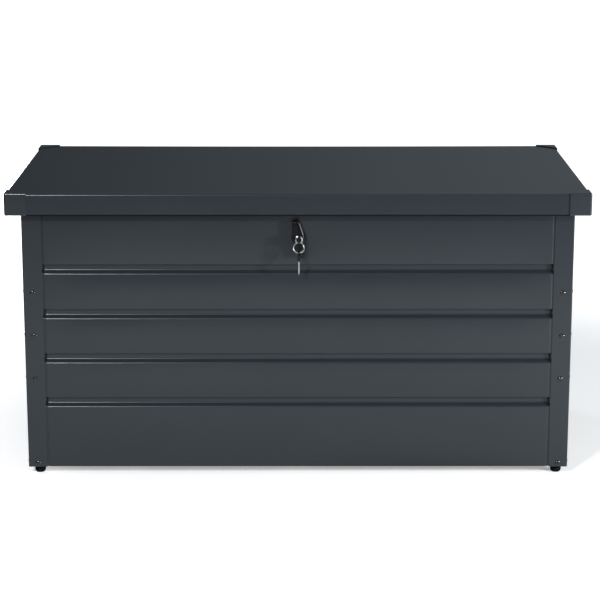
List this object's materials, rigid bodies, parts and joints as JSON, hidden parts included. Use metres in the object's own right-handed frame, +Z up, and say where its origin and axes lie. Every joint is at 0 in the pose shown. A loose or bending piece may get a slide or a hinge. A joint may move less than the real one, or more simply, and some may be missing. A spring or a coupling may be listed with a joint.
{
  "type": "deck storage box",
  "caption": "Rectangular sheet-steel deck box with ribbed walls, corner posts, rubber feet, a strut-assisted hinged tray lid and a key-locking turn handle.",
  "frame": {"origin": "on the ground, under the middle of the lid", "axes": "+X to the right of a person facing the lock, +Y from the front wall to the hinged rear wall, +Z up"},
  "size_m": [1.2, 0.6319, 0.61],
  "materials": {
    "anthracite_paint": "satin powder coat with a fine orange-peel texture",
    "cap_plastic": "moulded, fine satin grain",
    "black_plastic": "moulded black, semi-gloss",
    "black_rubber": "moulded, matt",
    "zinc_steel": "bright zinc plate",
    "chrome_steel": "polished",
    "key_nickel": "nickel plate with handling scratches",
    "strut_black": "gloss black enamel"
  },
  "bodies": {
    "box": {"post_front_left": "anthracite_paint", "post_front_right": "anthracite_paint", "post_rear_left": "anthracite_paint", "post_rear_right": "anthracite_paint", "front_panel": "anthracite_paint", "rear_panel": "anthracite_paint", "left_panel": "anthracite_paint", "right_panel": "anthracite_paint", "floor_panel": "anthracite_paint", "floor_rail_left": "zinc_steel", "floor_rail_middle": "zinc_steel", "floor_rail_right": "zinc_steel", "foot_front_left": "black_rubber", "foot_front_right": "black_rubber", "foot_rear_left": "black_rubber", "foot_rear_right": "black_rubber", "foot_nut_front_left": "zinc_steel", "foot_nut_front_right": "zinc_steel", "foot_nut_rear_left": "zinc_steel", "foot_nut_rear_right": "zinc_steel", "bumper_left": "black_rubber", "bumper_right": "black_rubber", "hinge_left_wall_leaf": "zinc_steel", "hinge_left_pin": "zinc_steel", "hinge_middle_wall_leaf": "zinc_steel", "hinge_middle_pin": "zinc_steel", "hinge_right_wall_leaf": "zinc_steel", "hinge_right_pin": "zinc_steel", "strut_left_wall_bracket": "zinc_steel", "strut_right_wall_bracket": "zinc_steel", "lock_housing": "black_plastic", "lock_nut": "zinc_steel"},
    "lid": {"lid_panel": "anthracite_paint", "lid_rib_left": "zinc_steel", "lid_rib_middle": "zinc_steel", "lid_rib_right": "zinc_steel", "lid_cap_front_left": "cap_plastic", "lid_cap_front_right": "cap_plastic", "lid_cap_rear_left": "cap_plastic", "lid_cap_rear_right": "cap_plastic", "hinge_left_lid_leaf": "zinc_steel", "hinge_middle_lid_leaf": "zinc_steel", "hinge_right_lid_leaf": "zinc_steel", "strut_left_lid_bracket": "zinc_steel", "strut_right_lid_bracket": "zinc_steel", "keeper": "zinc_steel"},
    "left_cylinder": {"strut_left_cylinder": "strut_black"},
    "left_rod": {"strut_left_rod": "chrome_steel"},
    "right_cylinder": {"strut_right_cylinder": "strut_black"},
    "right_rod": {"strut_right_rod": "chrome_steel"},
    "handle": {"turn_handle": "black_plastic", "lock_cam": "zinc_steel", "cam_screw": "zinc_steel"},
    "plug": {"lock_plug": "chrome_steel"},
    "key_in_lock": {"key": "key_nickel"},
    "ring": {"key_ring": "key_nickel"},
    "hanging_key": {"spare_key": "key_nickel"}
  },
  "joints": [
    {"name": "lid_hinge", "type": "hinge", "parent": "box", "child": "lid", "pos_m": [0, 0.3051, 0.559], "axis": [-1, 0, 0], "range_deg": [0, 75]},
    {"name": "strut_left_pivot", "type": "hinge", "parent": "box", "child": "left_cylinder", "pos_m": [-0.54, 0.2451, 0.499], "axis": [-1, 0, 0], "range_deg": [0, 69.1]},
    {"name": "strut_left_stroke", "type": "slide", "parent": "left_cylinder", "child": "left_rod", "axis": [0, -0.9062, 0.4229], "range_m": [0, 0.1002]},
    {"name": "strut_right_pivot", "type": "hinge", "parent": "box", "child": "right_cylinder", "pos_m": [0.54, 0.2451, 0.499], "axis": [-1, 0, 0], "range_deg": [0, 69.1]},
    {"name": "strut_right_stroke", "type": "slide", "parent": "right_cylinder", "child": "right_rod", "axis": [0, -0.9062, 0.4229], "range_m": [0, 0.1002]},
    {"name": "handle_turn", "type": "hinge", "parent": "box", "child": "handle", "pos_m": [0.002, -0.2785, 0.511], "axis": [0, -1, 0], "range_deg": [0, 90]},
    {"name": "key_turn", "type": "hinge", "parent": "handle", "child": "plug", "pos_m": [0.002, -0.2785, 0.511], "axis": [0, 1, 0], "range_deg": [0, 90]},
    {"name": "key_slide", "type": "slide", "parent": "plug", "child": "key_in_lock", "axis": [0, -1, 0], "range_m": [0, 0.03]},
    {"name": "ring_swing", "type": "hinge", "parent": "key_in_lock", "child": "ring", "pos_m": [0.002, -0.31245, 0.50835], "axis": [-1, 0, 0], "range_deg": [-5, 60]},
    {"name": "spare_key_swing", "type": "hinge", "parent": "ring", "child": "hanging_key", "pos_m": [0.002, -0.31245, 0.48635], "axis": [-1, 0, 0], "range_deg": [-5, 60]}
  ],
  "couplings": [
    {"joint": "strut_left_pivot", "follows": "lid_hinge", "ratio": 0.92031},
    {"joint": "strut_left_stroke", "follows": "lid_hinge", "m_per_rad": 0.076503},
    {"joint": "strut_right_pivot", "follows": "lid_hinge", "ratio": 0.92031},
    {"joint": "strut_right_stroke", "follows": "lid_hinge", "m_per_rad": 0.076503}
  ]
}
